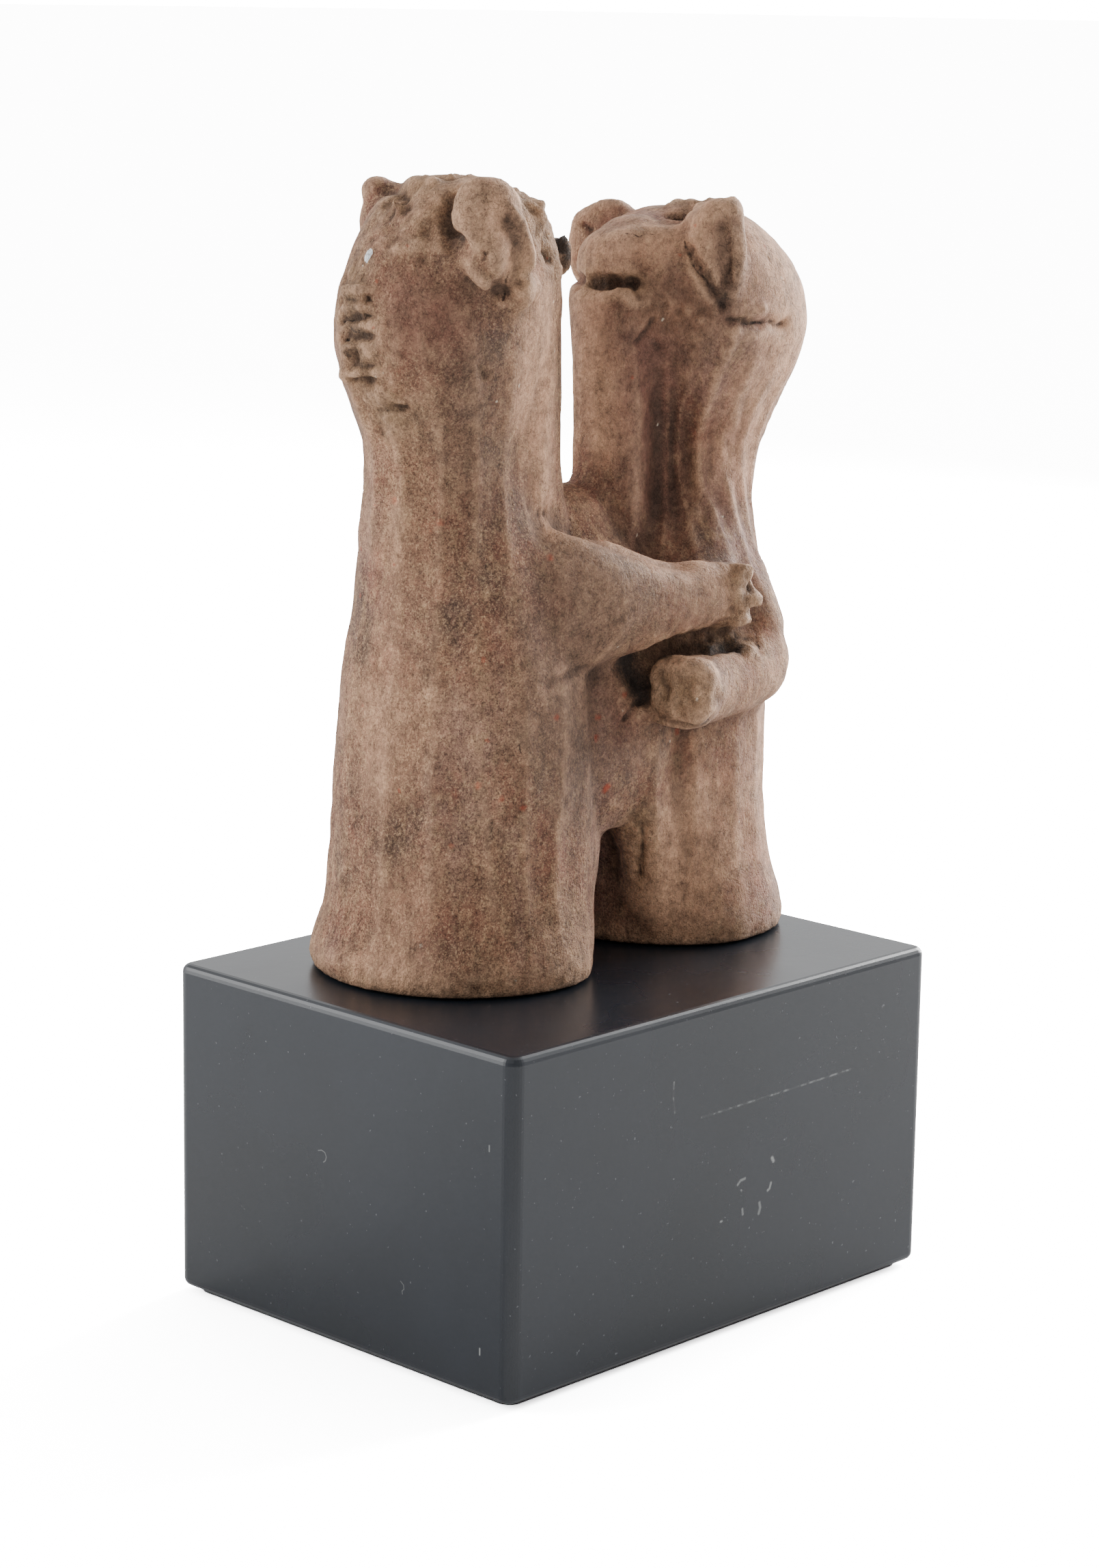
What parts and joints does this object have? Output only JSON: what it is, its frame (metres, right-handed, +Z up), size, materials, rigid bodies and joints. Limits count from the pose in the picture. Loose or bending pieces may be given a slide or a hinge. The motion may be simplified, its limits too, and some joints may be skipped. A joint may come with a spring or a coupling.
{
  "type": "terracotta double figure on a block",
  "caption": "Hand-modelled fired-clay pair of embracing animal-headed figures, standing on a satin black rectangular block with a felt base.",
  "frame": {"origin": "middle of the block's footprint, on the underside of the felt", "axes": "+Z up; +X along the block's long side, the way the taller figure faces; the shorter figure faces -X"},
  "size_m": [0.0957, 0.07, 0.1675],
  "materials": {
    "fired_clay": "unglazed, burnished in places, worn and gritty",
    "satin_black_paint": "satin black paint on a wooden block",
    "wool_felt": "thin dark felt"
  },
  "bodies": {
    "root": {"double_figure": "fired_clay", "plinth": "satin_black_paint", "felt_pad": "wool_felt"}
  },
  "joints": []
}
